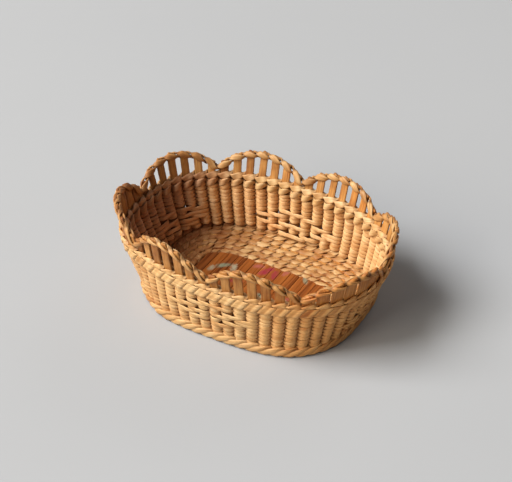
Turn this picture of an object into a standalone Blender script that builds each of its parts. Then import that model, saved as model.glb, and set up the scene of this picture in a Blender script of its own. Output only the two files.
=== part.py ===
# Small oval work basket of split cane, modelled as it is woven: fourteen flat
# splints lie side by side as the floor and turn up at the front and the back,
# fourteen more stand at each end, and rings of weaving hold them.
# Units are metres, +Z is up, the long side runs along X.  The origin is on the
# ground under the middle of the basket.

import math

import bmesh
import bpy
from mathutils import Vector

MM = 0.001

# ---- driving dimensions --------------------------------------------------
STAKES = 56                    # splints that stand in the wall, counted round
CROSS = 14                     # of them, pairs joined across the floor
PER_END = 14                   # and splints at each end
SCALLOPS = 8                   # arches along the rim, seven splints each

RIM_A, RIM_B, RIM_N = 47.5 * MM, 33.3 * MM, 2.35     # wall's middle at the upper twining
FOOT_A, FOOT_B, FOOT_N = 39.7 * MM, 30.4 * MM, 2.96  # wall's middle at the ground
TWINE_Z = 23.2 * MM            # height of the upper twining
BULGE = 1.9                    # over 1, the wall flares fastest near the ground
LEAN = 0.30                    # outward run per rise above the twining

VALLEY_Z, PEAK_Z = 26.2 * MM, 33.2 * MM   # top of the border, lowest and highest
ARCH = 0.80                    # roundness of each arch

SPLINT_W, SPLINT_T = 3.2 * MM, 0.8 * MM
SLAT_PITCH, SLAT_W = 3.62 * MM, 3.38 * MM
SLAT_Z = 1.35 * MM             # middle of a floor splint's thickness
PANEL_X, PANEL_Y, PANEL_N = 25.7 * MM, 11.9 * MM, 4.0
TIP_W, TIP_X = 1.2 * MM, 26.4 * MM   # an end splint's narrow tip, and the outermost tips' place
BEND = 2.6 * MM                # where a splint leaves the floor for the wall

LEVELS = (3.4 * MM, 10.5 * MM, 18.8 * MM, 23.9 * MM)   # a splint's stations up the wall

CLEAR = 0.30 * MM              # a slot is this much wider and thicker than its splint
WEAVE_T = 2.2 * MM
WEAVE_Z = (3.9 * MM, 10.5 * MM, 18.7 * MM)
WALE_T, WALE_Z = 2.8 * MM, (18.95 * MM, 22.0 * MM)
TWINE_T, TWINE_ROW = 2.5 * MM, (22.25 * MM, 23.75 * MM)
BASE_Z, BASE_T = 1.35 * MM, 1.8 * MM      # middle and thickness of the floor weaving

TAN, PALE, AMBER, BROWN = (0.56, 0.33, 0.15), (0.66, 0.41, 0.20), (0.42, 0.17, 0.05), (0.45, 0.25, 0.11)


# ---- the shape of the wall -----------------------------------------------
def oval(a, b, n, steps=1440):
    """Points round a rounded oval, and how far along each one is, from 0 to 1."""
    points, run = [], [0.0]
    for i in range(steps + 1):
        angle = 2 * math.pi * i / steps
        c, s = math.cos(angle), math.sin(angle)
        points.append((a * math.copysign(abs(c) ** (2 / n), c), b * math.copysign(abs(s) ** (2 / n), s)))
    for p, q in zip(points, points[1:]):
        run.append(run[-1] + math.dist(p, q))
    return points, [r / run[-1] for r in run]


def along(shape, t):
    """The point a part t of the way round an oval."""
    points, run = shape
    t %= 1.0
    low, high = 0, len(run) - 1
    while high - low > 1:
        middle = (low + high) // 2
        low, high = (middle, high) if run[middle] <= t else (low, middle)
    f = (t - run[low]) / (run[high] - run[low])
    (x0, y0), (x1, y1) = points[low], points[high]
    return Vector((x0 + (x1 - x0) * f, y0 + (y1 - y0) * f, 0.0))


def outward(shape, t):
    """The level direction straight out of an oval at t."""
    d = along(shape, t + 0.002) - along(shape, t - 0.002)
    return Vector((d.y, -d.x, 0.0)).normalized()


RIM = oval(RIM_A, RIM_B, RIM_N)
FOOT = oval(FOOT_A, FOOT_B, FOOT_N)


def wall(t, z, offset=0.0):
    """The wall's middle surface at t and height z, moved out by offset."""
    if z < TWINE_Z:
        g = 1 - (1 - z / TWINE_Z) ** BULGE
        p = along(FOOT, t).lerp(along(RIM, t), g)
        out = outward(FOOT, t).lerp(outward(RIM, t), g).normalized()
    else:
        out = outward(RIM, t)
        p = along(RIM, t) + out * LEAN * (z - TWINE_Z)
    p += out * offset
    p.z = z
    return p


def border_top(t):
    """Height of the scalloped border's top at t."""
    return VALLEY_Z + (PEAK_Z - VALLEY_Z) * abs(math.sin(math.pi * SCALLOPS * t)) ** ARCH


def splint_top(t):
    """Where a splint ends, in the groove under the border."""
    half = 0.5 * SPLINT_W / (4.75 * MM * STAKES)
    return min(border_top(t - half), border_top(t), border_top(t + half)) - 1.15 * MM


# ---- helpers ---------------------------------------------------------------
def start():
    for old in list(bpy.data.objects):
        bpy.data.objects.remove(old, do_unlink=True)


def collection(name):
    made = bpy.data.collections.new(name)
    bpy.context.scene.collection.children.link(made)
    return made


def material(name, colour, roughness):
    made = bpy.data.materials.new(name)
    made.use_nodes = True
    shader = made.node_tree.nodes["Principled BSDF"]
    shader.inputs["Base Color"].default_value = (*colour, 1.0)
    shader.inputs["Roughness"].default_value = roughness
    shader.inputs["Metallic"].default_value = 0.0
    return made


def solid(name, bm, where, colour=None, roughness=0.6):
    """An object made from a bmesh, with a material of its own."""
    mesh = bpy.data.meshes.new(name)
    bmesh.ops.recalc_face_normals(bm, faces=bm.faces)
    bm.to_mesh(mesh)
    bm.free()
    made = bpy.data.objects.new(name, mesh)
    where.objects.link(made)
    if colour:
        mesh.materials.append(material(name, colour, roughness))
    return made


def thicken(made, thickness):
    modifier = made.modifiers.new("thickness", "SOLIDIFY")
    modifier.thickness = thickness
    modifier.offset = 0.0
    modifier.use_even_offset = True
    return made


def ribbon(path, bm=None):
    """A strip of faces along (middle, side direction, width) stations."""
    bm = bm or bmesh.new()
    rows = []
    for middle, side, width in path:
        half = side.normalized() * width / 2
        rows.append((bm.verts.new(middle - half), bm.verts.new(middle + half)))
    for (a, b), (c, d) in zip(rows, rows[1:]):
        bm.faces.new((a, b, d, c))
    return bm


def band(rings):
    """An open tube of faces through rings of the same number of points."""
    bm = bmesh.new()
    rows = [[bm.verts.new(p) for p in ring] for ring in rings]
    count = len(rows[0])
    for low, high in zip(rows, rows[1:]):
        for i in range(count):
            j = (i + 1) % count
            bm.faces.new((low[i], low[j], high[j], high[i]))
    return bm


def moulding(sections):
    """A closed ring with a constant outline, from one loop of points a station."""
    bm = bmesh.new()
    rows = [[bm.verts.new(p) for p in section] for section in sections]
    count = len(rows[0])
    for i, row in enumerate(rows):
        following = rows[(i + 1) % len(rows)]
        for k in range(count):
            m = (k + 1) % count
            bm.faces.new((row[k], row[m], following[m], following[k]))
    return bm


def slot(made, cutter):
    """Cuts the splints' slots into a ring of weaving.  Slots meet near the inner tips."""
    modifier = made.modifiers.new("slots", "BOOLEAN")
    modifier.operation = "DIFFERENCE"
    modifier.solver = "EXACT"
    modifier.use_self = True
    modifier.object = cutter


# ---- routes of the splints -------------------------------------------------
def tangent(t, z):
    return (wall(t + 0.002, z) - wall(t - 0.002, z)).normalized()


def climb(t, inner, side, narrow, widen, levels):
    """Stations from the floor round the bend and up the wall at t."""
    foot = wall(t, SLAT_Z)
    foot.z = SLAT_Z
    inward = (inner - foot).normalized()
    p0, p2 = foot + inward * BEND, wall(t, levels[0])
    stations = []
    for u in (0.0, 0.33, 0.67):
        p = p0 * (1 - u) ** 2 + foot * 2 * u * (1 - u) + p2 * u * u
        width = narrow + (SPLINT_W - narrow) * u
        stations.append((p, side.lerp(tangent(t, levels[0]), 0.5 + u / 2), width + widen))
    for z in levels:
        stations.append((wall(t, z), tangent(t, z), SPLINT_W + widen))
    return stations


def across(inward):
    """The level direction at right angles to a splint's run, the way round the oval."""
    return Vector((inward.y, -inward.x, 0.0)).normalized()


def cross_route(k, levels, widen=0.0):
    """A splint that runs up the front, across the floor and up the back."""
    x = (k - (CROSS - 1) / 2) * SLAT_PITCH
    back = (PER_END / 2 + (CROSS - 1 - k) + 0.5) / STAKES
    front = 1.0 - back
    route = []
    for t, sign in ((front, -1), (back, 1)):
        inner = Vector((x, sign * 13.5 * MM, SLAT_Z))
        foot = wall(t, SLAT_Z)
        side = across((inner - foot).normalized())
        part = [(inner, side.lerp(Vector((-sign, 0, 0)), 0.5), SLAT_W + widen)]
        part += climb(t, inner, side, 3.0 * MM, widen, levels(t))
        if sign < 0:
            part = [(p, -s, w) for p, s, w in reversed(part)]
        route += part
    return route


def end_route(i, levels, widen=0.0):
    """A splint at an end: i counts round from the right end's front."""
    right = i < PER_END
    j = i if right else i - PER_END
    t = ((j - (PER_END - 1) / 2) / STAKES + (0.0 if right else 0.5)) % 1.0
    # inner tips lie side by side round the end of the floor panel
    tips = oval(29.0 * MM, 14.6 * MM, 4.0)
    reach = 0.0
    while along(tips, reach).x > TIP_X:
        reach += 0.0005
    u = (j - (PER_END - 1) / 2) / ((PER_END - 1) / 2)
    tip = along(tips, u * reach + (0.0 if right else 0.5))
    tip.z = SLAT_Z
    foot = wall(t, SLAT_Z)
    inward = (tip - foot).normalized()
    side = across(inward)
    middle = tip.lerp(foot + inward * BEND, 0.55)
    route = [(tip, side, TIP_W + widen), (middle, side, 1.9 * MM + widen)]
    return route + climb(t, tip, side, 2.4 * MM, widen, levels(t))


def full_height(t):
    return LEVELS + (splint_top(t),)


def wall_only(t):
    return LEVELS + (24.8 * MM,)


# ---- the basket --------------------------------------------------------------
start()
parts = collection("oval_basket")
cutters = collection("cutters")

for k in range(CROSS):
    thicken(solid(f"cross_splint_{k + 1:02d}", ribbon(cross_route(k, full_height)), parts, AMBER, 0.35), SPLINT_T)

for i in range(2 * PER_END):
    end = "right" if i < PER_END else "left"
    name = f"{end}_splint_{i % PER_END + 1:02d}"
    thicken(solid(name, ribbon(end_route(i, full_height)), parts, TAN, 0.5), SPLINT_T)

# one cutter holds every splint's slot, a little wider and thicker than the splint
slots = bmesh.new()
for k in range(CROSS):
    ribbon(cross_route(k, wall_only, CLEAR), slots)
for i in range(2 * PER_END):
    route = end_route(i, wall_only, CLEAR)
    tip, side, width = route[0]
    ribbon([(tip + (tip - route[1][0]).normalized() * 0.4 * MM, side, width)] + route[1:], slots)
splint_slots = thicken(solid("splint_slots", slots, cutters), SPLINT_T + CLEAR)
splint_slots.hide_render = True
splint_slots.display_type = "WIRE"


def round_the_wall(heights, thickness, name, colour):
    rings = [[wall((i + 0.0) / STAKES, z) for i in range(STAKES)] for z in heights]
    made = thicken(solid(name, band(rings), parts, colour, 0.6), thickness)
    slot(made, splint_slots)
    return made


round_the_wall(WEAVE_Z, WEAVE_T, "wall_weave", PALE)
round_the_wall(WALE_Z, WALE_T, "upper_wale", PALE)
round_the_wall(TWINE_ROW, TWINE_T, "rim_twining", TAN)


def round_the_floor(inner, outer, name, colour):
    """A flat ring between two ovals (half length, half width, roundness)."""
    ovals = [oval(*inner), oval(*outer)]
    rings = []
    for shape in ovals:
        ring = [along(shape, i / STAKES) for i in range(STAKES)]
        for p in ring:
            p.z = BASE_Z
        rings.append(ring)
    made = thicken(solid(name, band(rings), parts, colour, 0.6), BASE_T)
    slot(made, splint_slots)
    return made


round_the_floor((PANEL_X, PANEL_Y, PANEL_N), (29.9 * MM, 16.1 * MM, 3.8), "floor_twining_inner", PALE)
round_the_floor((32.2 * MM, 16.6 * MM, 3.4), (FOOT_A - 2.45 * MM, FOOT_B - 2.45 * MM, FOOT_N), "floor_twining_outer", PALE)

# the foot wale is an L in section: it lies under the bend and stands outside it
FOOT_SECTION = (
    (1.10, 0.0), (1.75, 0.7), (1.65, 2.6), (1.25, 3.1), (0.75, 3.1),
    (0.75, 1.9), (0.10, 0.70), (-2.15, 0.70), (-2.15, 0.0),
)
sections = []
for i in range(72):
    t = i / 72
    sections.append([wall(t, z * MM, o * MM) for o, z in FOOT_SECTION])
solid("foot_wale", moulding(sections), parts, TAN, 0.6)

# the border caps the splints with a groove that follows the scallops
BORDER_SECTION = (
    (-0.55, -2.2), (-0.55, -0.9), (0.55, -0.9), (0.55, -2.2), (1.15, -2.2),
    (1.2, -0.7), (0.6, 0.0), (-0.6, 0.0), (-1.2, -0.7), (-1.15, -2.2),
)
sections = []
for i in range(2 * STAKES):
    t = i / (2 * STAKES)
    top = border_top(t)
    sections.append([wall(t, top + z * MM, o * MM) for o, z in BORDER_SECTION])
solid("scallop_border", moulding(sections), parts, BROWN, 0.6)

for made in parts.objects:
    if made.name in {"foot_wale", "scallop_border"}:
        made.data.shade_smooth()
        made.data.set_sharp_from_angle(angle=math.radians(40))
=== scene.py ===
import math

import bpy
import numpy as np
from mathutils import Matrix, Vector


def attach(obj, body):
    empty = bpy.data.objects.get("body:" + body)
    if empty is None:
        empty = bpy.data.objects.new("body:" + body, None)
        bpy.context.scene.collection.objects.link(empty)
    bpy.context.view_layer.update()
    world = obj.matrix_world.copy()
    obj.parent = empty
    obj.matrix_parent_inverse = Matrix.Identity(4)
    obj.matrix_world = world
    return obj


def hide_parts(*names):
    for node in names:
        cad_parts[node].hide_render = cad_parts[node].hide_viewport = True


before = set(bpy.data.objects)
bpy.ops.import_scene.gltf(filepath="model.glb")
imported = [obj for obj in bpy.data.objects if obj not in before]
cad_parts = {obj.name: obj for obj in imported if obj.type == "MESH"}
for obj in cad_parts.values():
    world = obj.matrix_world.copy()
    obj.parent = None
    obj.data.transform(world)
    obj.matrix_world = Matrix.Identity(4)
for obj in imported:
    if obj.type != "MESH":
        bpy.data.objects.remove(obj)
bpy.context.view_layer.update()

rng = np.random.default_rng(56)

# Lengths below are in millimetres and are turned into metres when a mesh is made.
STAKES = 56
CROSS, PER_END, SCALLOPS = 14, 14, 8
TWINE_Z, BULGE, LEAN = 23.2, 1.9, 0.30
VALLEY_Z, PEAK_Z, ARCH = 25.3, 33.2, 0.62
SLAT_PITCH, SLAT_W, SLAT_Z, BEND = 3.62, 3.38, 1.35, 2.6
TIP_X = 26.4


# ---- the basket's surface ---------------------------------------------------
def unit(v):
    return v / np.maximum(np.linalg.norm(v, axis=-1, keepdims=True), 1e-9)


def oval(a, b, n, steps=1440):
    angle = 2 * np.pi * np.arange(steps + 1) / steps
    c, s = np.cos(angle), np.sin(angle)
    x = a * np.sign(c) * np.abs(c) ** (2 / n)
    y = b * np.sign(s) * np.abs(s) ** (2 / n)
    run = np.concatenate([[0], np.cumsum(np.hypot(np.diff(x), np.diff(y)))])
    return x, y, run / run[-1]


def along(shape, t):
    x, y, run = shape
    t = np.asarray(t, float) % 1.0
    px = np.interp(t, run, x)
    return np.stack([px, np.interp(t, run, y), np.zeros_like(px)], -1)


def outward(shape, t):
    d = along(shape, np.asarray(t) + 0.002) - along(shape, np.asarray(t) - 0.002)
    return unit(np.stack([d[..., 1], -d[..., 0], np.zeros(d.shape[:-1])], -1))


RIM = oval(47.5, 33.3, 2.35)
FOOT = oval(39.7, 30.4, 2.96)


def uneven(t, z):
    """How far the handmade wall stands out from a fair oval: less at two corners of the foot, more by the left end's rim."""
    def corner(at, *window):
        f = np.interp(at % 1.0, window, (0, 1, 1, 0))
        return f * f * (3 - 2 * f)
    low = 1 - np.clip(z / TWINE_Z, 0, 1)
    high = np.interp(z, (8, 19, 24, 30), (0, 1, 1, 0))
    return -1.7 * low * corner(t, 0.48, 0.55, 0.61, 0.67) - 1.1 * low * corner(t + 0.5, 0.35, 0.43, 0.52, 0.59) \
        + 1.3 * high * corner(t, 0.50, 0.56, 0.60, 0.65)


def wall(t, z, offset=0.0):
    t, z, offset = np.broadcast_arrays(np.asarray(t, float), np.asarray(z, float), np.asarray(offset, float))
    offset = offset + uneven(t, z)
    turned = np.cos(2 * np.pi * t)
    bulge = BULGE - np.clip((np.abs(turned) - 0.45) / 0.35, 0, 1) * np.where(turned > 0, 0.9, 0.55)    # straighter at the ends
    g = (1 - (1 - np.clip(z, 0, TWINE_Z) / TWINE_Z) ** bulge)[..., None]
    p = along(FOOT, t) * (1 - g) + along(RIM, t) * g
    out = unit(outward(FOOT, t) * (1 - g) + outward(RIM, t) * g)
    lean = LEAN - 0.17 * np.clip(1 - np.abs((t + 0.5) % 1.0 - 0.5 - 0.03) / 0.12, 0, 1)    # less at the right end
    lean = lean - np.interp(t % 1.0, (0.61, 0.64, 0.86, 0.89), (0, 0.13, 0.13, 0))         # and at the front
    p = p + out * (lean * np.maximum(z - TWINE_Z, 0) + offset)[..., None]
    p[..., 2] = z
    return p


def wall_frame(t, z):
    """Place, outward direction and upward direction on the wall's middle surface."""
    up = unit(wall(t, z + 0.25) - wall(t, z - 0.25))
    round_ = unit(wall(t + 0.002, z) - wall(t - 0.002, z))
    out = unit(np.cross(round_, up))
    return wall(t, z), out, np.cross(out, round_)


def border_top(t):
    return VALLEY_Z + (PEAK_Z - VALLEY_Z) * np.abs(np.sin(np.pi * SCALLOPS * t)) ** ARCH


def smooth_border(t):
    """The border's height with its valleys rounded as a bent strand rounds them."""
    steps = np.linspace(-0.38, 0.38, 9) / STAKES
    return np.mean([border_top(np.asarray(t) + s) for s in steps], axis=0) + end_rise(t)


def end_rise(t):
    """The scallop at the left end stands a little higher, and those at the front over their left halves."""
    away = np.abs((np.asarray(t) - 0.5625 + 0.5) % 1.0 - 0.5)
    front = np.interp(np.asarray(t) % 1.0 * STAKES, (35, 36, 36.5, 37.8, 39, 40.2, 41.2, 42, 43, 44.5, 45.3, 46.5, 47.5, 49),
                      (0, 1.6, 2.2, 2.8, 2.2, 0.5, 0.3, 0.5, 1.8, 2.5, 1.8, 1.1, 0.4, 0))
    return 2.0 * np.clip(1 - (away / 0.0625) ** 4, 0, 1) + front


BORDER_DROP = 1.35            # from the border's top down to the middle of its binding

TIPS = oval(29.0, 14.6, 4.0)
reach = 0.0
while along(TIPS, reach)[0] > TIP_X:
    reach += 0.0005


def stake_t(k):
    return (k + 0.5) / STAKES


def stake_floor(k):
    """Where stake k starts, where its bend starts and the bend's corner and end."""
    t = stake_t(k)
    foot = wall(t, SLAT_Z)
    side = None
    if 7 <= k < 21:
        x = (20 - k - (CROSS - 1) / 2) * SLAT_PITCH
        start = np.array([x, 13.5, SLAT_Z])
    elif 35 <= k < 49:
        x = (k - 35 - (CROSS - 1) / 2) * SLAT_PITCH
        start = np.array([x, -13.5, SLAT_Z])
    else:
        right = k < 7 or k >= 49
        j = (k + 7) % 56 if right else k - 21
        u = (j - (PER_END - 1) / 2) / ((PER_END - 1) / 2)
        start = along(TIPS, u * reach + (0.0 if right else 0.5))
        start[2] = SLAT_Z
    inward = unit(start - foot)
    return start, foot + inward * BEND, foot, wall(t, 3.4)


def bend_point(k, u):
    _, p0, foot, p2 = stake_floor(k)
    return p0 * (1 - u) ** 2 + foot * 2 * u * (1 - u) + p2 * u * u


def is_cross(k):
    return 7 <= k < 21 or 35 <= k < 49


def floor_row(a, b, n):
    """For each stake, its place on an oval ring on the floor and its run there."""
    places, runs = [], []
    for k in range(STAKES):
        start, p0, _, _ = stake_floor(k)
        d = unit(p0 - start)
        if is_cross(k) and b < 13.5:      # the slats run straight until the bend's fan
            place = np.array([start[0], math.copysign(b * (1 - abs(start[0] / a) ** n) ** (1 / n), start[1]), SLAT_Z])
            d = np.array([0.0, math.copysign(1.0, start[1]), 0.0])
        else:
            low, high = -12.0, 30.0
            for _ in range(40):
                mid = (low + high) / 2
                q = start + d * mid
                low, high = (mid, high) if abs(q[0] / a) ** n + abs(q[1] / b) ** n < 1 else (low, mid)
            place = start + d * low
        places.append(place)
        runs.append(d)
    return np.array(places), np.array(runs)


def bend_row(u):
    places = np.array([bend_point(k, u) for k in range(STAKES)])
    runs = unit(np.array([bend_point(k, u + 0.02) - bend_point(k, u - 0.02) for k in range(STAKES)]))
    return places, runs


def through(values, a):
    """A smooth closed curve through one value a stake, read at a (stake k is at k + 0.5)."""
    x = np.asarray(a) - 0.5
    i = np.floor(x).astype(int)
    f = (x - i)[:, None]
    p0, p1, p2, p3 = (values[(i + d) % len(values)] for d in (-1, 0, 1, 2))
    return 0.5 * (2 * p1 + (p2 - p0) * f + (2 * p0 - 5 * p1 + 4 * p2 - p3) * f ** 2 + (3 * p1 - p0 - 3 * p2 + p3) * f ** 3)


def ring_frame(row, a):
    """Place, direction away from the basket's inside, and sideways direction along a ring."""
    places, runs = row
    p = through(places, a)
    round_ = unit(through(places, a + 0.05) - through(places, a - 0.05))
    out = unit(np.cross(round_, through(runs, a)))
    return p, out, np.cross(out, round_)


# ---- strands -------------------------------------------------------------------
def superellipse(m, power):
    angle = 2 * np.pi * (np.arange(m) + 0.5) / m
    c, s = np.cos(angle), np.sin(angle)
    return np.sign(c) * np.abs(c) ** (2 / power), np.sign(s) * np.abs(s) ** (2 / power)


class Mesh:
    """Collects swept strands and turns them into one object."""

    def __init__(self):
        self.co, self.quads, self.tris = [], [], []
        self.fibre, self.tint, self.deep, self.inner = [], [], [], []
        self.count = 0

    def strand(self, p, face, width, thick, closed, section, tint=0.5, deep=0.0, relief=None, edge=0.0, inner=0.0):
        """A strand along p, its flat face towards face."""
        n = len(p)
        forward = unit(np.roll(p, -1, 0) - np.roll(p, 1, 0) if closed else np.gradient(p, axis=0))
        side = unit(np.cross(face, forward))
        face = np.cross(forward, side)
        sx, sy = section
        hx = np.broadcast_to(width, n)[:, None] / 2 * sx[None]
        hy = np.broadcast_to(thick, n)[:, None] / 2 * sy[None]
        if relief is not None:
            hy = hy + relief
        co = p[:, None] + side[:, None] * hx[..., None] + face[:, None] * hy[..., None]
        # edge darkens the strand towards its sides: painted shade between neighbouring strands
        self.loft(co, hx + 0.35 * hy, closed, tint, deep, edge * np.abs(sx) ** 4, inner)

    def loft(self, co, across, closed, tint, deep, edge, inner):
        """Joins the sections co; across is each point's place over the strand's fibres."""
        n, m = co.shape[:2]
        step = np.linalg.norm(np.diff(co.mean(1), axis=0), axis=1)
        run = np.concatenate([[0], np.cumsum(step)])
        fibre = np.stack([across, np.broadcast_to(run[:, None], (n, m)), np.full((n, m), rng.uniform(0, 200))], -1)
        base = self.count
        i = np.arange(n if closed else n - 1)[:, None]
        j = np.arange(m)[None]
        i2, j2 = (i + 1) % n, (j + 1) % m
        quads = np.stack(np.broadcast_arrays(i * m + j, i * m + j2, i2 * m + j2, i2 * m + j), -1).reshape(-1, 4)
        self.co.append(co.reshape(-1, 3))
        self.fibre.append(fibre.reshape(-1, 3))
        per_row = lambda v: np.broadcast_to(np.broadcast_to(v, n)[:, None], (n, m))
        tint, inner = per_row(tint), per_row(inner)
        self.tint.append(tint.reshape(-1))
        self.inner.append(inner.reshape(-1))
        self.deep.append((per_row(deep) + np.broadcast_to(edge, (n, m))).reshape(-1))
        self.quads.append(quads + base)
        self.count += n * m
        if not closed:
            for row, order in ((0, -1), (n - 1, 1)):
                middle = co[row].mean(0)
                self.co.append(middle[None])
                self.fibre.append(fibre[row].mean(0)[None])
                self.tint.append(tint[row, :1])
                self.inner.append(inner[row, :1])
                # the middle of each end cap gets painted shade
                self.deep.append(np.array([0.5]))
                ring = base + row * m + np.arange(m)
                after = base + row * m + (np.arange(m) + 1) % m
                centre = np.full(m, self.count)
                tris = np.stack([ring, after, centre], -1) if order > 0 else np.stack([after, ring, centre], -1)
                self.tris.append(tris)
                self.count += 1

    def build(self, name, material):
        co = np.concatenate(self.co) * 0.001
        quads = np.concatenate(self.quads)
        tris = np.concatenate(self.tris) if self.tris else np.zeros((0, 3), int)
        mesh = bpy.data.meshes.new(name)
        mesh.vertices.add(len(co))
        mesh.vertices.foreach_set("co", co.astype(np.float32).ravel())
        loops = np.concatenate([quads.ravel(), tris.ravel()]).astype(np.int32)
        mesh.loops.add(len(loops))
        mesh.loops.foreach_set("vertex_index", loops)
        mesh.polygons.add(len(quads) + len(tris))
        starts = np.concatenate([np.arange(len(quads)) * 4, len(quads) * 4 + np.arange(len(tris)) * 3])
        mesh.polygons.foreach_set("loop_start", starts.astype(np.int32))
        mesh.update(calc_edges=True)
        mesh.validate()
        mesh.shade_smooth()
        for key, kind, values in (("fibre", "FLOAT_VECTOR", self.fibre), ("tint", "FLOAT", self.tint),
                                  ("deep", "FLOAT", self.deep), ("inner", "FLOAT", self.inner)):
            layer = mesh.attributes.new(key, kind, "POINT")
            layer.data.foreach_set("vector" if kind == "FLOAT_VECTOR" else "value", np.concatenate(values).astype(np.float32).ravel())
        mesh.materials.append(material)
        made = bpy.data.objects.new(name, mesh)
        bpy.context.scene.collection.objects.link(made)
        return made


def finish_piece(made, slot, *nodes):
    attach(made, "root")
    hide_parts(*nodes)
    return made


# ---- materials --------------------------------------------------------------------
def node(tree, kind, **settings):
    made = tree.nodes.new(kind)
    for key, value in settings.items():
        if key == "inputs":
            for name, v in value.items():
                made.inputs[name].default_value = v
        else:
            setattr(made, key, value)
    return made


def sum_(tree, operation, a, b, clamp=False):
    made = node(tree, "ShaderNodeMath", operation=operation, use_clamp=clamp)
    for i, v in enumerate((a, b)):
        if v is None:
            continue
        if isinstance(v, (int, float)):
            made.inputs[i].default_value = v
        else:
            tree.links.new(v, made.inputs[i])
    return made.outputs[0]


def mix(tree, factor, a, b, blend="MIX"):
    made = node(tree, "ShaderNodeMix", data_type="RGBA", blend_type=blend)
    for socket, v in ((made.inputs["Factor"], factor), (made.inputs["A"], a), (made.inputs["B"], b)):
        if isinstance(v, (int, float)):
            socket.default_value = v
        elif isinstance(v, tuple):
            socket.default_value = (*v, 1.0)
        else:
            tree.links.new(v, socket)
    return made.outputs["Result"]


def remap(tree, value, low, high, to_low=0.0, to_high=1.0, smooth=False):
    made = node(tree, "ShaderNodeMapRange", interpolation_type="SMOOTHSTEP" if smooth else "LINEAR")
    tree.links.new(value, made.inputs["Value"])
    made.inputs["From Min"].default_value = low
    made.inputs["From Max"].default_value = high
    made.inputs["To Min"].default_value = to_low
    made.inputs["To Max"].default_value = to_high
    return made.outputs["Result"]


def fibre_noise(tree, across, lengthwise, detail=2.0):
    """Noise stretched along a strand: features per mm across it and along it."""
    attribute = node(tree, "ShaderNodeAttribute", attribute_type="GEOMETRY", attribute_name="fibre")
    scaled = node(tree, "ShaderNodeVectorMath", operation="MULTIPLY")
    tree.links.new(attribute.outputs["Vector"], scaled.inputs[0])
    scaled.inputs[1].default_value = (across, lengthwise, 1.0)
    noise = node(tree, "ShaderNodeTexNoise", noise_dimensions="3D", inputs={"Scale": 1.0, "Detail": detail, "Roughness": 0.55})
    tree.links.new(scaled.outputs[0], noise.inputs["Vector"])
    return noise.outputs["Fac"]


def attribute_value(tree, name):
    return node(tree, "ShaderNodeAttribute", attribute_type="GEOMETRY", attribute_name=name).outputs["Fac"]


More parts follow.
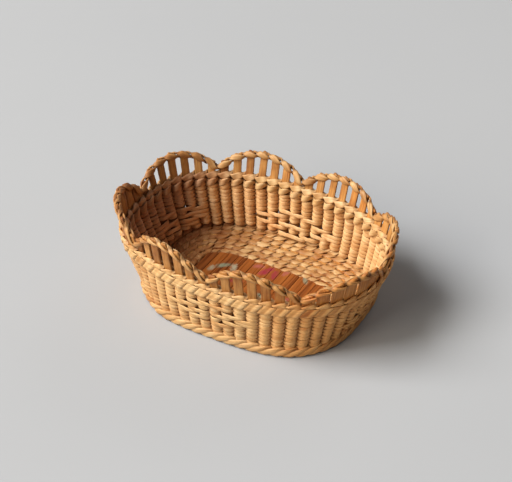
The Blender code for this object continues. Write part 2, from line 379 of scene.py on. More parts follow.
def cane(name, pale, middle, dark, shade_and_dirt_colour, roughness=0.5, lines=2.2, line_depth=0.5, bump=0.35, coat=0.0, inside=(1.0, 1.04, 1.1),
         left_inside_shade_tint=(0.60, 0.47, 0.60), left_inside_shade_x=(-0.030, -0.046), lit_inside_tint=None):
    """Split cane: lengthwise fibres, blotches, a tint of its own on each strand, painted shade and dirt in the
    crossings and grooves.
    """
    material = bpy.data.materials.new(name)
    material.use_nodes = True
    tree = material.node_tree
    shader = tree.nodes["Principled BSDF"]
    fine = fibre_noise(tree, lines, 0.10, 3.0)
    blotch = fibre_noise(tree, 0.35, 0.16, 2.0)
    tint = attribute_value(tree, "tint")
    ramp = node(tree, "ShaderNodeValToRGB")
    ramp.color_ramp.elements[0].position = 0.0
    ramp.color_ramp.elements[0].color = (*dark, 1)
    ramp.color_ramp.elements[1].position = 1.0
    ramp.color_ramp.elements[1].color = (*pale, 1)
    ramp.color_ramp.elements.new(0.45).color = (*middle, 1)
    level = sum_(tree, "ADD", sum_(tree, "MULTIPLY", sum_(tree, "SUBTRACT", blotch, 0.5), 1.1), tint, clamp=True)
    tree.links.new(level, ramp.inputs["Fac"])
    grooves = remap(tree, fine, 0.33, 0.58, 1.0, 0.0, smooth=True)
    streaked = mix(tree, sum_(tree, "MULTIPLY", grooves, line_depth), ramp.outputs["Color"], dark)
    stain = node(tree, "ShaderNodeTexNoise", noise_dimensions="3D", inputs={"Scale": 95.0, "Detail": 2.5, "Roughness": 0.6})
    tree.links.new(node(tree, "ShaderNodeTexCoord").outputs["Object"], stain.inputs["Vector"])
    aged = mix(tree, remap(tree, stain.outputs["Fac"], 0.52, 0.72, 0.0, 0.6, smooth=True), streaked, (0.90, 0.70, 0.52), "MULTIPLY")
    # painted shade: the cane is made redder on the right end's outside and darker at the left end's inside, where shade
    # falls
    inner = attribute_value(tree, "inner")
    axes = node(tree, "ShaderNodeSeparateXYZ")
    tree.links.new(node(tree, "ShaderNodeTexCoord").outputs["Object"], axes.inputs[0])
    outside = remap(tree, inner, 0.25, 0.75, 1.0, 0.0, smooth=True)
    right_outside_shade = sum_(tree, "MULTIPLY", remap(tree, axes.outputs["X"], 0.006, 0.042, smooth=True), outside)
    worn = mix(tree, right_outside_shade, aged, (1.12, 0.90, 0.65), "MULTIPLY")
    left_inside_shade = sum_(tree, "MULTIPLY", remap(tree, axes.outputs["X"], *left_inside_shade_x, smooth=True), inner)
    ruddy = mix(tree, left_inside_shade, worn, left_inside_shade_tint, "MULTIPLY")
    # painted light: the inside faces are made paler and brighter than the outside
    warm = mix(tree, inner, ruddy, inside, "MULTIPLY")
    if lit_inside_tint:     # painted light: the inside left of the middle is brightened
        lit_inside_mask = sum_(tree, "MULTIPLY", remap(tree, axes.outputs["X"], -0.046, -0.036, smooth=True),
                    remap(tree, axes.outputs["X"], 0.002, -0.012, smooth=True))
        warm = mix(tree, sum_(tree, "MULTIPLY", lit_inside_mask, inner), warm, lit_inside_tint, "MULTIPLY")
    # painted shade and dirt: the cane darkens towards its crevice colour in grooves, crossings and along strand sides
    shade_and_dirt_amount = sum_(tree, "MULTIPLY", attribute_value(tree, "deep"), 0.85, clamp=True)
    coloured = mix(tree, shade_and_dirt_amount, warm, shade_and_dirt_colour)
    tree.links.new(coloured, shader.inputs["Base Color"])
    tree.links.new(remap(tree, fine, 0.3, 0.7, roughness + 0.14, roughness - 0.08), shader.inputs["Roughness"])
    raised = node(tree, "ShaderNodeBump", inputs={"Strength": bump, "Distance": 0.00012})
    tree.links.new(fine, raised.inputs["Height"])
    tree.links.new(raised.outputs["Normal"], shader.inputs["Normal"])
    shader.inputs["Coat Weight"].default_value = coat
    shader.inputs["Coat Roughness"].default_value = 0.25
    shader.inputs["Specular IOR Level"].default_value = 0.28
    return material


def strokes(tree, colour_in, marks):
    """Soft-edged brush strokes: (x, y, half length, half width, turn, colour), in millimetres and degrees."""
    place = node(tree, "ShaderNodeTexCoord").outputs["Object"]
    ragged = node(tree, "ShaderNodeTexNoise", noise_dimensions="3D", inputs={"Scale": 1500.0, "Detail": 3.0})
    tree.links.new(place, ragged.inputs["Vector"])
    worn = node(tree, "ShaderNodeTexNoise", noise_dimensions="3D", inputs={"Scale": 620.0, "Detail": 2.0})
    tree.links.new(place, worn.inputs["Vector"])
    coloured = colour_in
    for x, y, long_, wide, turn, colour, strength in marks:
        mapping = node(tree, "ShaderNodeMapping", vector_type="TEXTURE")
        mapping.inputs["Location"].default_value = (x * 0.001, y * 0.001, 0.0)
        mapping.inputs["Rotation"].default_value = (0, 0, math.radians(turn))
        mapping.inputs["Scale"].default_value = (long_ * 0.001, wide * 0.001, 1.0)
        tree.links.new(place, mapping.inputs["Vector"])
        flat = node(tree, "ShaderNodeVectorMath", operation="MULTIPLY")
        tree.links.new(mapping.outputs[0], flat.inputs[0])
        flat.inputs[1].default_value = (1, 1, 0)
        reach_ = node(tree, "ShaderNodeVectorMath", operation="LENGTH")
        tree.links.new(flat.outputs[0], reach_.inputs[0])
        edge = sum_(tree, "ADD", reach_.outputs["Value"], sum_(tree, "MULTIPLY", sum_(tree, "SUBTRACT", ragged.outputs["Fac"], 0.5), 1.5))
        mask = remap(tree, edge, 0.50, 1.15, 1.0, 0.0, smooth=True)
        patchy = remap(tree, worn.outputs["Fac"], 0.34, 0.56, 0.55, 1.0)
        mask = sum_(tree, "MULTIPLY", sum_(tree, "MULTIPLY", mask, patchy), strength, clamp=True)
        coloured = mix(tree, mask, coloured, colour)
    return coloured


def floor_splint_material():
    """Splints that are glossy and orange-brown across the floor and tan in the wall."""
    material = cane("cane_floor_and_wall", (0.60, 0.32, 0.105), (0.47, 0.217, 0.057), (0.23, 0.077, 0.017), (0.08, 0.021, 0.006), 0.46, 2.2, 0.6, 0.38)
    tree = material.node_tree
    shader = tree.nodes["Principled BSDF"]
    tan = shader.inputs["Base Color"].links[0].from_socket
    rough = shader.inputs["Roughness"].links[0].from_socket
    wide = fibre_noise(tree, 0.8, 0.035, 3.0)
    tint = attribute_value(tree, "tint")
    level = sum_(tree, "ADD", sum_(tree, "MULTIPLY", sum_(tree, "SUBTRACT", wide, 0.5), 1.7), tint, clamp=True)
    ramp = node(tree, "ShaderNodeValToRGB")
    ramp.color_ramp.elements[0].color = (0.115, 0.026, 0.006, 1)
    ramp.color_ramp.elements[1].color = (0.37, 0.122, 0.023, 1)
    ramp.color_ramp.elements.new(0.5).color = (0.280, 0.079, 0.014, 1)
    tree.links.new(level, ramp.inputs["Fac"])
    painted = strokes(tree, ramp.outputs["Color"], MARKS)
    place = node(tree, "ShaderNodeTexCoord").outputs["Object"]
    axes = node(tree, "ShaderNodeSeparateXYZ")
    tree.links.new(place, axes.inputs[0])
    depth = sum_(tree, "ABSOLUTE", axes.outputs["Y"], None)
    in_wall = remap(tree, depth, 0.0135, 0.0165, 0.0, 1.0, smooth=True)
    tree.links.new(mix(tree, in_wall, painted, tan), shader.inputs["Base Color"])
    gloss = remap(tree, wide, 0.3, 0.7, 0.24, 0.36)
    blended = node(tree, "ShaderNodeMix", data_type="FLOAT")
    tree.links.new(in_wall, blended.inputs["Factor"])
    tree.links.new(gloss, blended.inputs["A"])
    tree.links.new(rough, blended.inputs["B"])
    tree.links.new(blended.outputs["Result"], shader.inputs["Roughness"])
    return material


PINK, ROSE, SAGE, CREAM = (0.27, 0.024, 0.043), (0.36, 0.10, 0.085), (0.22, 0.235, 0.155), (0.38, 0.35, 0.24)
MARKS = [
    (-1.2, 8.4, 3.8, 1.6, 62, PINK, 1.0), (2.6, 8.0, 3.0, 1.3, 96, PINK, 0.95),
    (-4.8, 9.8, 2.6, 1.2, 28, ROSE, 0.85), (5.8, 11.0, 2.4, 1.1, 70, ROSE, 0.75),
    (-16.6, 4.0, 3.1, 1.4, 40, SAGE, 0.9), (-12.4, 4.6, 2.6, 1.2, 105, CREAM, 0.8),
    (-19.6, 0.6, 2.2, 1.1, 85, CREAM, 0.75), (13.8, 10.6, 2.4, 1.1, 125, SAGE, 0.8),
    (-8.0, -2.0, 3.0, 1.1, 20, PINK, 0.85), (4.2, -5.4, 2.6, 1.0, 140, SAGE, 0.8),
    (12.6, -3.2, 2.4, 1.0, 55, ROSE, 0.75), (-14.4, -7.2, 2.2, 0.9, 100, CREAM, 0.7),
]

# In each cane below, the fourth colour is painted shade and dirt, the tint for the left end's inside is painted shade,
# and the tint for the inside left of the middle is painted light.
WEAVER = cane("cane_weaver", (0.67, 0.445, 0.212), (0.62, 0.366, 0.146), (0.40, 0.170, 0.048), (0.20, 0.060, 0.016), 0.52, inside=(1.06, 1.07, 1.14),
              lit_inside_tint=(1.13, 1.09, 1.10))
TWINE = cane("cane_twine", (0.66, 0.437, 0.210), (0.57, 0.334, 0.131), (0.34, 0.140, 0.037), (0.19, 0.057, 0.014), 0.56, left_inside_shade_tint=(0.68, 0.54, 0.58),
             left_inside_shade_x=(-0.015, -0.041))
BORDER = cane("cane_border", (0.64, 0.400, 0.168), (0.48, 0.245, 0.080), (0.24, 0.090, 0.024), (0.085, 0.024, 0.006), 0.50, left_inside_shade_tint=(0.84, 0.70, 0.60))
SPLINT = cane("cane_splint", (0.60, 0.320, 0.105), (0.47, 0.217, 0.057), (0.23, 0.077, 0.017), (0.08, 0.021, 0.006), 0.46, 2.2, 0.6, 0.38)
SLATS = floor_splint_material()


# ---- splints ------------------------------------------------------------------------
def splint_section(points=19):
    """A flat splint with a faintly domed face: points over, two on each edge, points back."""
    x = np.linspace(-0.94, 0.94, points)
    sx = np.concatenate([x[::-1], [-1.0, -1.0], x, [1.0, 1.0]])
    over = 1 - 0.34 * np.abs(x) ** 2.4
    under = -(1 - 0.34 * np.abs(x) ** 2.4)
    sy = np.concatenate([over[::-1], [0.34, -0.34], under, [-0.34, 0.34]])
    return sx, sy


SECTION = splint_section()


def wobble(n, size, smooth):
    """Seeded smooth random values along n stations."""
    raw = rng.normal(0, 1, n + 4 * smooth + 8)
    kernel = np.hanning(2 * smooth + 3)
    out = np.convolve(raw, kernel / np.sqrt((kernel ** 2).sum()), "same")
    return out[2 * smooth + 4: 2 * smooth + 4 + n] * size


def half_splint(k):
    """Stations of stake k from the floor up: place, sideways direction, width, thickness and rib depth."""
    t = stake_t(k)
    start, p0, foot, p2 = stake_floor(k)
    radial = unit(p0 - start)
    across = np.array([-radial[1], radial[0], 0.0])
    stations = []
    if is_cross(k):
        sgn = math.copysign(1.0, start[1])
        slat_across = np.array([-sgn, 0.0, 0.0])
        for y in (0.6, 3.0, 6.0, 9.0, 11.4, 12.6):
            stations.append((np.array([start[0], sgn * y, SLAT_Z]), slat_across, SLAT_W + 0.16, 0.80, 0.0))
        middle = start + (p0 - start) * 0.08
        stations.append((middle, unit(slat_across + across), 3.2, 0.7, 0.3))
        for f in (0.35, 0.65):
            stations.append((start + (p0 - start) * f, across, 3.5, 0.6, 0.5))
    else:
        for f, w in ((0.0, 1.5), (0.12, 1.8), (0.3, 2.2), (0.5, 2.8), (0.75, 3.1)):
            stations.append((start + (p0 - start) * f, across, w, 0.62, 0.5))
    for u in (0.0, 0.25, 0.5, 0.75):
        tangent = unit(wall(t + 0.002, 3.4) - wall(t - 0.002, 3.4))
        stations.append((bend_point(k, u), unit(across * (1 - u) + tangent * u), (3.6 if is_cross(k) else 3.2) + 0.3 * u, 0.6, 0.5))
    for z in (3.4, 6.0, 9.0, 12.0, 15.0, 18.0, 20.0):
        tangent = unit(wall(t + 0.002, z) - wall(t - 0.002, z))
        stations.append((wall(t, z), tangent, 4.15 if z > 4 else 3.5, 1.3, 0.6))
    bound = float(smooth_border(t)) - BORDER_DROP
    shift = rng.normal(0, 0.10)
    turn = rng.normal(0, 0.06)
    bow = rng.normal(0, 0.12)
    wide = (3.35 if 35 <= k < 49 else 2.95 if 7 <= k < 28 else 4.9 if 28 <= k < 35 else 4.6 if k >= 49 else 3.9) + rng.normal(0, 0.12)
    tip = rng.normal(0, 0.10)
    lean = -0.35 + rng.normal(0, 0.15)

    def station(z, f, along_, w, thick):
        place, out, up = wall_frame(np.array([t]), np.array([z]))
        tangent = unit(np.cross(up[0], out[0]) + out[0] * turn)
        stations.append((place[0] + tangent * (shift * f + along_) + out[0] * bow * math.sin(math.pi * f), tangent, w, thick, 1.0))

    for f in np.concatenate([[0.0, 0.06], np.linspace(0.14, 1.0, 8)]):
        station(21.6 + (bound - 21.6) * f, f, 0.0, wide - 0.25 * max(0.0, 1 - 6 * f), 1.0)
    # the end stands in the binding, pushed a little to one side and rounded off
    stand = 1.1 if 35 <= k < 49 else 0.85
    for rise, w, thick in ((0.45, 1.0, 1.2), (1.0, 0.96, 1.2), (1.25, 0.86, 1.05), (1.34, 0.66, 0.8)):
        station(bound + rise * stand + tip, 1.0, lean * rise, (wide - 0.1) * w, thick)
    return stations


def splint(k, other=None):
    """Builds stake k; a cross splint goes on through the floor to stake other."""
    stations = half_splint(k)
    if other is not None:
        front = [(p, -s, w, h, r) for p, s, w, h, r in reversed(half_splint(other))]
        stations = front + stations
    p = np.array([s[0] for s in stations])
    side = np.array([s[1] for s in stations])
    width = np.array([s[2] for s in stations])
    thick = np.array([s[3] for s in stations])
    depth = np.array([s[4] for s in stations])
    forward = unit(np.gradient(p, axis=0))
    face = -np.cross(side, forward)      # towards the inside of the basket
    sx, sy = SECTION
    ribs = np.zeros(len(sx))
    for count, size in ((5.5 + rng.uniform(-0.6, 0.6), 0.045), (9 + rng.uniform(-1, 1), 0.018)):
        ribs += size * np.cos(np.pi * count * sx + rng.uniform(0, 6.28))
    ribs[np.abs(sy) < 0.5] = 0
    relief = -np.sign(sy)[None] * (0.05 + ribs)[None] * depth[:, None]
    made = Mesh()
    end_shade = 0.3 if 27 <= k < 36 else 0.1 if k < 7 else 0.06 if k < 14 else 0.0     # painted shade: most at the left end, some at the right end and back right
    tint = float(np.clip(rng.normal(0.5, 0.16) - end_shade, 0.1, 0.9))
    # painted shade and dirt where the stake runs inside the weaving, less at its ends; edge darkens its sides
    deep = np.where((p[:, 2] > 2.0) & (p[:, 2] < 22.0), 0.6, 0.0)
    ends = [0, 1, len(p) - 2, len(p) - 1] if other is not None else [len(p) - 2, len(p) - 1]
    deep[ends] = 0.12
    # the right end's stakes are given the inside's painted light
    made.strand(p, face, width, thick, False, SECTION, tint, deep, relief=relief, edge=0.3, inner=0.8 if k < 7 else 0.0)
    return made


for k in range(CROSS):
    back = 20 - k
    front = 55 - back
    made = splint(back, front).build(f"cross_splint_{k + 1:02d}_cane", SLATS)
    finish_piece(made, "cane_floor", f"cross_splint_{k + 1:02d}")
for j in range(PER_END):
    made = splint((j - 7) % 56).build(f"right_splint_{j + 1:02d}_cane", SPLINT)
    finish_piece(made, "cane_splint", f"right_splint_{j + 1:02d}")
    made = splint(21 + j).build(f"left_splint_{j + 1:02d}_cane", SPLINT)
    finish_piece(made, "cane_splint", f"left_splint_{j + 1:02d}")


# ---- the wall's over-and-under weaving --------------------------------------------------
ROWS, ROW_LOW, ROW_HIGH = 22, 3.05, 19.95
ROW_PITCH = (ROW_HIGH - ROW_LOW) / ROWS
# diamonds: (middle in stakes, middle height, half width in stakes, half height)
DIAMONDS = [(42.1, 12.4, 3.3, 4.7), (14.3, 8.0, 3.4, 5.3), (25.0, 8.5, 2.6, 4.4), (0.3, 9.5, 3.2, 4.8)]


def weave_states():
    state = np.ones((ROWS, STAKES))
    for i in range(ROWS):
        z = ROW_LOW + (i + 0.5) * ROW_PITCH
        for k in range(STAKES):
            flip = (i + k) % 2
            for middle, height, half_w, half_h in DIAMONDS:
                away = abs((k + 0.5 - middle + 28) % 56 - 28)
                if away / half_w + abs(z - height) / half_h < 1:
                    flip += 1
                if away < 0.75 and abs(z - height) < 0.8:
                    flip += 1
            state[i, k] = 1.0 if flip % 2 == 0 else -1.0
    return state


def wall_weave():
    state = weave_states()
    up = np.zeros_like(state)
    down = np.zeros_like(state)
    for k in range(STAKES):
        for i in range(ROWS):
            for store, step in ((up, 1), (down, -1)):
                d = 1
                while 0 <= i + step * d < ROWS and state[i + step * d, k] != state[i, k]:
                    d += 1
                if not 0 <= i + step * d < ROWS:
                    d = 2
                store[i, k] = {1: 0.52, 2: 1.0}.get(d, 1.15) * ROW_PITCH
    high = 1 + rng.normal(0, 0.04, state.shape)
    shift = rng.normal(0, 0.045, state.shape)
    push = rng.normal(0, 0.05, state.shape)
    shade = rng.normal(0, 0.10, state.shape)
    at = np.array([0, 0.17, 0.29, 0.38, 0.45, 0.50, 0.55, 0.62, 0.71, 0.83])   # closest together in the groove
    a = (np.arange(STAKES)[:, None] + 0.5 + at[None]).ravel()
    f = np.tile(at, STAKES)
    k0 = np.repeat(np.arange(STAKES), len(at))
    k1 = (k0 + 1) % STAKES
    ease = f * f * (3 - 2 * f)
    cross = np.exp(-((f - 0.5) / 0.13) ** 2)
    made = Mesh()
    section = superellipse(8, 5.0)
    # the ribs are shallower outside at the left end and inside at the right end
    flat_out = np.interp(a % STAKES, (26, 30, 37, 41), (0, 1, 1, 0))
    flat_in = np.interp(a % STAKES, (0, 7, 13, 47, 52, 56), (1, 0.9, 0, 0, 0.8, 1))
    right_flank_shade = (f > 0.5) * np.interp(a % STAKES, (4, 9, 25, 29), (0, 1, 1, 0))     # painted shade on the back ribs' right flanks
    for i in range(ROWS):
        def between(values, at_crossing=None):
            plain = values[i][k0] * (1 - ease) + values[i][k1] * ease
            return plain if at_crossing is None else plain * (1 - cross) + at_crossing * cross
        same = state[i][k0] == state[i][k1]
        c = state[i][k0] * np.cos(np.pi * f)
        c = np.where(c > 0, np.abs(c) ** 0.80, -np.abs(c))
        radial = np.where(same, state[i][k0] * (1 + 0.06 * cross), c)
        narrow = np.where(same, 0.92, 0.57) * ROW_PITCH
        top, bottom = between(up, narrow), between(down, narrow)
        height = (top + bottom) * between(high)
        drift = wobble(len(a), 0.05, 16)
        z = ROW_LOW + (i + 0.5) * ROW_PITCH + (top - bottom) / 2 + between(shift) + drift
        place, out, _ = wall_frame(a / STAKES, z)
        p = place + out * (radial * (np.where(radial > 0, 1.27 - 0.27 * flat_out, 1.95 - 0.85 * flat_in) + between(push)))[:, None]
        tint = np.clip(0.58 - 0.22 * flat_out + rng.normal(0, 0.05) + between(shade) + 0.18 * same * cross, 0, 1)
        # painted shade and dirt, deepest in the grooves between ribs and on the back ribs' right flanks
        deep = np.clip(np.where(radial > 0, 0.74 - 0.34 * flat_out, 0.44 - 0.2 * flat_in + 0.38 * right_flank_shade) - np.abs(radial), 0, 1)
        made.strand(p, out, height * 1.03, 0.46, True, section, tint, deep, edge=0.04, inner=0.5 - 0.5 * radial)
    return made


finish_piece(wall_weave().build("wall_weave_cane", WEAVER), "cane_weaver", "wall_weave")


# ---- wales and twining ----------------------------------------------------------------------
def keyed(x, keys, column, period):
    """A smooth periodic curve through keys (place, values...)."""
    keys = sorted(keys)
    places = np.array([q[0] for q in keys])
    values = np.array([q[column] for q in keys])
    places = np.concatenate([places - period, places, places + period])
    values = np.tile(values, 3)
    grid = np.arange(-period, 2 * period, 0.01)
    dense = np.interp(grid, places, values)
    kernel = np.hanning(23)
    dense = np.convolve(dense, kernel / kernel.sum(), "same")
    return np.interp(np.asarray(x) % period, grid, dense)


# (stakes along, away from the inside, sideways, width) over one repeat of three stakes
WALE_KEYS = [
    (0.00, 0.00, -0.20, 2.9), (0.10, 0.90, -0.10, 3.5), (0.22, 1.38, 0.00, 3.7), (0.60, 1.40, 0.02, 3.7), (0.74, 1.62, 0.03, 3.7),
    (1.00, 1.60, 0.04, 3.7),
    (1.12, 1.00, 0.06, 3.5), (1.50, 0.60, 0.10, 2.2), (2.00, -0.05, 0.55, 1.0), (2.16, -1.25, 0.42, 2.2),
    (2.30, -1.85, 0.28, 2.9), (2.50, -2.10, 0.02, 3.0), (2.70, -1.85, -0.28, 2.9), (2.84, -1.20, -0.70, 2.2),
]


def wale(made, frame_at, keys, thick, sub, jitter, section, tint, spread=0.12, skew=0.15, dark_from=1.5, facet_shade_depth=0.0, shade_and_dirt_amount=0.80):
    """Three strands laid round the stakes: one closed strand that goes round three times.
    skew, in stakes a millimetre, slants its sections, so that its ends come out from under its neighbour at a slant."""
    a = np.arange(3 * STAKES * sub) / sub
    per = rng.normal(0, 1, (3, 169))
    per[:, -1] = per[:, 0]
    ease = lambda x, v: np.interp(x % 168, np.arange(169), v)
    sx, sy = section
    width = keyed(a, keys, 3, 3.0) * (1 + 0.04 * ease(a, per[2]))
    half = width[:, None] / 2 * sx[None]
    out_by = np.repeat(keyed(a, keys, 1, 3.0)[:, None], len(sx), 1)
    side_by = np.repeat((keyed(a, keys, 2, 3.0) + jitter * ease(a, per[0]))[:, None], len(sx), 1)
    b = a[:, None] + skew * half * np.where(out_by > 0, 1.0, np.maximum(1 + 2 * out_by, -0.4))
    place, out, side = (v.reshape(*b.shape, 3) for v in frame_at(b.ravel() % STAKES))
    p = place + out * out_by[..., None] + side * (side_by + half)[..., None]
    forward = unit(np.roll(p, -1, 0) - np.roll(p, 1, 0))
    face = np.cross(forward, unit(np.cross(out, forward)))
    inner = np.clip(0.5 - out_by, 0, 1)
    co = p + face * ((thick + 0.35 * inner) / 2 * sy[None])[..., None]
    # painted shade where the strand runs under its neighbour, near the wall's middle and at the strand's sides
    under = (a % 3.0 > dark_from) & (a % 3.0 < 2.0)
    deep = np.clip(shade_and_dirt_amount - np.abs(out_by), 0, 1) + 0.5 * under[:, None] + 0.2 * np.abs(sx)[None] ** 6
    facet_shade = np.interp(a % 3.0, (0.1, 0.3, 0.6, 0.72, 1.05, 1.3), (0, -1, -1, 1, 1, 0))     # painted facet shade: each float darker, then lighter along its length
    facet_shade = facet_shade * np.interp(a % STAKES, (0, 3, 42, 47, 56), (1, 0.3, 0.3, 1, 1))
    shade = np.clip(tint + spread * ease(a, per[1]) + facet_shade_depth * facet_shade, 0, 1)
    made.loft(co, half + 0.35 * thick / 2 * sy[None], True, shade, 0.0, deep, inner.mean(1))


def wall_ring(z):
    return lambda a: wall_frame(a / STAKES, np.full(len(a), z))


made = Mesh()
wale(made, wall_ring(20.95), WALE_KEYS, 0.50, 14, 0.05, superellipse(12, 4.0), 0.60, skew=0.15, dark_from=1.25, facet_shade_depth=0.30)
finish_piece(made.build("upper_wale_cane", TWINE), "cane_weaver", "upper_wale")


def rope(made, frame_at, sub, out_by, side_by, width, thick, turn, section, tint=0.55, jitter=0.04,
         start=0, stop=None, grip=1.5, narrow=0.62, inner=1.0, spread=0.13, full=1.0, dark=0.6, lean=0.0, flat=1.2, slant=0.0,
         drop=0.0, loose=0.0, shaded=0.0):
    """Two strands twisted round each other, with a stake through each half turn.
    inner is how wide a strand is on the basket's inside, for a width of 1 on its outside;
    lean above 0 makes it spend less of its length on the inside, and the larger flat is,
    the nearer to the crossings it turns over. drop is how much lower it lies on the inside,
    loose is how unevenly it is twisted and how much its width varies, and shaded is how
    much painted shade darkens it towards the left end."""
    closed = stop is None
    a = np.arange(int(((STAKES if closed else stop) - start) * sub) + (0 if closed else 1)) / sub + start
    place, out, side = frame_at(a % STAKES)
    sway = np.interp(a % STAKES, np.arange(STAKES + 1), np.append(*(lambda v: (v, v[:1]))(rng.normal(0, loose, STAKES)))) if loose else 0.0
    for j in range(2):
        angle = np.pi * (a - 0.5 + j) + sway
        c, s = np.cos(angle), turn * np.sin(angle)
        w = rng.normal(0, 1, (3, STAKES + 1))
        w[:, -1] = w[:, 0]
        ease = lambda v: np.interp(a % STAKES, np.arange(STAKES + 1), v)
        r = np.abs(c + lean) / np.where(c + lean > 0, 1 + lean, 1 - lean)
        gripped = np.sign(c + lean) * np.tanh(grip * r) / math.tanh(grip)
        climb = s * side_by * (1 + slant * c) - drop * (0.5 - 0.5 * c)
        p = place + out * (gripped * out_by * (1 + 0.06 * ease(w[0])))[:, None] + side * (climb + jitter * ease(w[1]))[:, None]
        face = unit(out * np.tanh(flat * c)[:, None] + side * (s * 0.55)[:, None])
        # painted shade towards the left end
        shade = np.clip(tint - shaded * np.interp(a % STAKES, (16, 21, 34, 39), (0, 1, 1, 0)) + spread * ease(w[2]), 0, 1)
        ends = 1.0 if closed else np.clip(np.minimum(a - start, stop - a) / 0.8, 0.12, 1)
        inside = 1 + (inner - 1) * (0.5 - 0.5 * c)
        wide = width * inside * (narrow + (1 - narrow) * r ** full) * ends * np.clip(1 + 0.4 * loose * ease(w[1]), 0.7, 1.3)
        # painted shade and dirt at the crossings and along the strand's sides
        made.strand(p, face, wide, thick * ends, closed, section, shade, np.clip(1 - r / 0.45, 0, 1) * dark,
                    edge=0.2, inner=np.clip(0.5 - c, 0, 1))


made = Mesh()
rope(made, wall_ring(23.66), 16, 1.16, 0.46, 2.02, 0.80, 1.0, superellipse(8, 3.4), 0.60, grip=2.6, narrow=0.50, inner=1.35, full=0.25,
     dark=0.5, lean=0.12, flat=5.0, slant=0.15, drop=0.7)
finish_piece(made.build("rim_twining_cane", TWINE), "cane_weaver", "rim_twining")


def border_frame(a):
    t = a / STAKES
    z = smooth_border(t) - BORDER_DROP
    place = wall(t, z)
    ahead = wall(t + 0.001, smooth_border(t + 0.001) - BORDER_DROP)
    behind = wall(t - 0.001, smooth_border(t - 0.001) - BORDER_DROP)
    _, out, _ = wall_frame(t, z)
    round_ = unit(ahead - behind)
    out = unit(out - round_ * (out * round_).sum(-1, keepdims=True))
    return place, out, np.cross(out, round_)


made = Mesh()
rope(made, border_frame, 14, 0.90, 0.68, 1.55, 0.74, -1.0, superellipse(10, 2.8), 0.52, 0.06, grip=1.7, narrow=0.72,
     inner=1.55, spread=0.16, full=0.4, dark=0.6, flat=2.0)
finish_piece(made.build("scallop_border_cane", BORDER), "cane_border", "scallop_border")


def foot_frame(a):
    t = a / STAKES
    place = wall(t, 2.34, 0.80)
    round_ = unit(wall(t + 0.002, 2.34, 0.80) - wall(t - 0.002, 2.34, 0.80))
    out = unit(np.stack([round_[..., 1], -round_[..., 0], np.full(len(a), -0.12)], -1))
    return place, out, np.cross(out, round_)


FOOT_KEYS = [
    (0.00, 0.10, -1.40, 1.3), (0.25, 0.55, -1.12, 1.9), (0.70, 0.84, -0.60, 2.8), (1.20, 0.92, 0.20, 3.0),
    (1.60, 0.82, 0.85, 2.5), (2.05, 0.20, 1.40, 1.5), (2.50, -0.50, 0.0, 1.4),
]
made = Mesh()
wale(made, foot_frame, FOOT_KEYS, 0.75, 10, 0.05, superellipse(10, 2.8), 0.50, 0.22, 0.10, 3.0, shade_and_dirt_amount=0.50)
finish_piece(made.build("foot_wale_cane", TWINE), "cane_weaver", "foot_wale")


# ---- the floor's weaving -----------------------------------------------------------------------
def ring(row):
    return lambda a: ring_frame(row, a)


GRAIN = superellipse(8, 2.3)


def floor_rope(made, row, width=1.9, start=0, stop=None):
    rope(made, ring(row), 10, 0.46, 0.86, width * 1.04, 0.55, 1.0, GRAIN, 0.25, 0.24, start, stop, grip=1.0, narrow=0.54, spread=0.18,
         full=0.6, dark=0.6, flat=1.4, loose=0.42, shaded=0.16)


made = Mesh()
for size in ((26.85, 13.05, 4.0), (29.35, 15.75, 3.9)):
    floor_rope(made, floor_row(*size), 2.3)
finish_piece(made.build("floor_twining_inner_cane", TWINE), "cane_weaver", "floor_twining_inner")

made = Mesh()
for size in ((32.1, 18.7, 3.5), (34.7, 22.0, 3.2), (37.2, 25.5, 3.0)):
    floor_rope(made, floor_row(*size), 2.5)
floor_rope(made, bend_row(0.12), 2.3)
floor_rope(made, bend_row(0.66), 2.2)
finish_piece(made.build("floor_twining_outer_cane", TWINE), "cane_weaver", "floor_twining_outer")


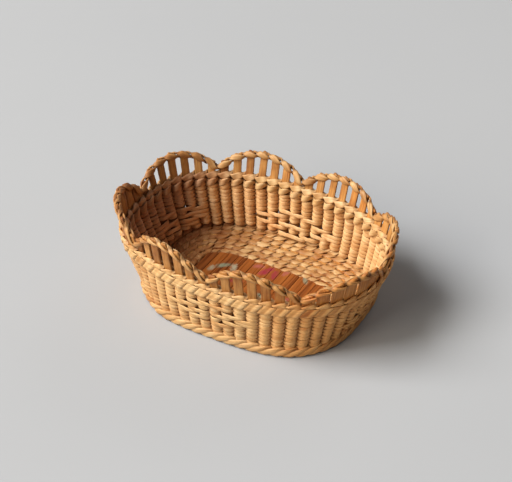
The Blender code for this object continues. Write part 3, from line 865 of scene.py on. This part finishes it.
# ---- stage -----------------------------------------------------------------------------------------
bpy.ops.mesh.primitive_plane_add(size=6.0, location=(0, 0, 0))
ground = bpy.context.object
ground.name = "ground"
surface = bpy.data.materials.new("pale_paper")
surface.use_nodes = True
tree = surface.node_tree
shader = tree.nodes["Principled BSDF"]
grain = node(tree, "ShaderNodeTexNoise", noise_dimensions="3D", inputs={"Scale": 9.0, "Detail": 3.0})
tree.links.new(node(tree, "ShaderNodeTexCoord").outputs["Object"], grain.inputs["Vector"])
tree.links.new(mix(tree, grain.outputs["Fac"], (0.341, 0.342, 0.3455), (0.358, 0.359, 0.361)), shader.inputs["Base Color"])
shader.inputs["Roughness"].default_value = 0.75
shader.inputs["Specular IOR Level"].default_value = 0.14
ground.data.materials.append(surface)

world = bpy.data.worlds.new("studio")
bpy.context.scene.world = world
world.use_nodes = True
world.node_tree.nodes["Background"].inputs["Color"].default_value = (1.0, 0.955, 0.91, 1.0)
world.node_tree.nodes["Background"].inputs["Strength"].default_value = 0.165


def area(name, place, aim, size, power, colour=(1, 1, 1)):
    light = bpy.data.lights.new(name, "AREA")
    light.shape = "RECTANGLE"
    light.size, light.size_y = size
    light.energy = power
    light.color = colour
    made = bpy.data.objects.new(name, light)
    made.location = place
    made.rotation_euler = (Vector(aim) - Vector(place)).to_track_quat("-Z", "Y").to_euler()
    bpy.context.scene.collection.objects.link(made)
    return made


area("key", (-2.03, -1.30, 2.60), (0, 0, 0.0), (2.2, 1.9), 234.0, (0.99, 1.0, 1.01))
area("fill", (-0.85, -1.90, 1.00), (0, 0, 0.0), (1.2, 0.9), 29.0, (1.0, 0.92, 0.80))
area("back", (0.30, 2.20, 1.10), (0, 0, 0.0), (1.6, 0.9), 12.0, (1.0, 0.99, 0.98))

camera = bpy.data.objects.new("camera", bpy.data.cameras.new("camera"))
bpy.context.scene.collection.objects.link(camera)
camera.location = (0.22937, -0.40531, 0.36206)
camera.rotation_euler = (Vector((-0.00667, 0.01074, 0.01187)) - camera.location).to_track_quat("-Z", "Y").to_euler()
camera.data.lens = 115.82
camera.data.sensor_width = 36.0
bpy.context.scene.camera = camera
bpy.context.scene.view_settings.view_transform = "Standard"
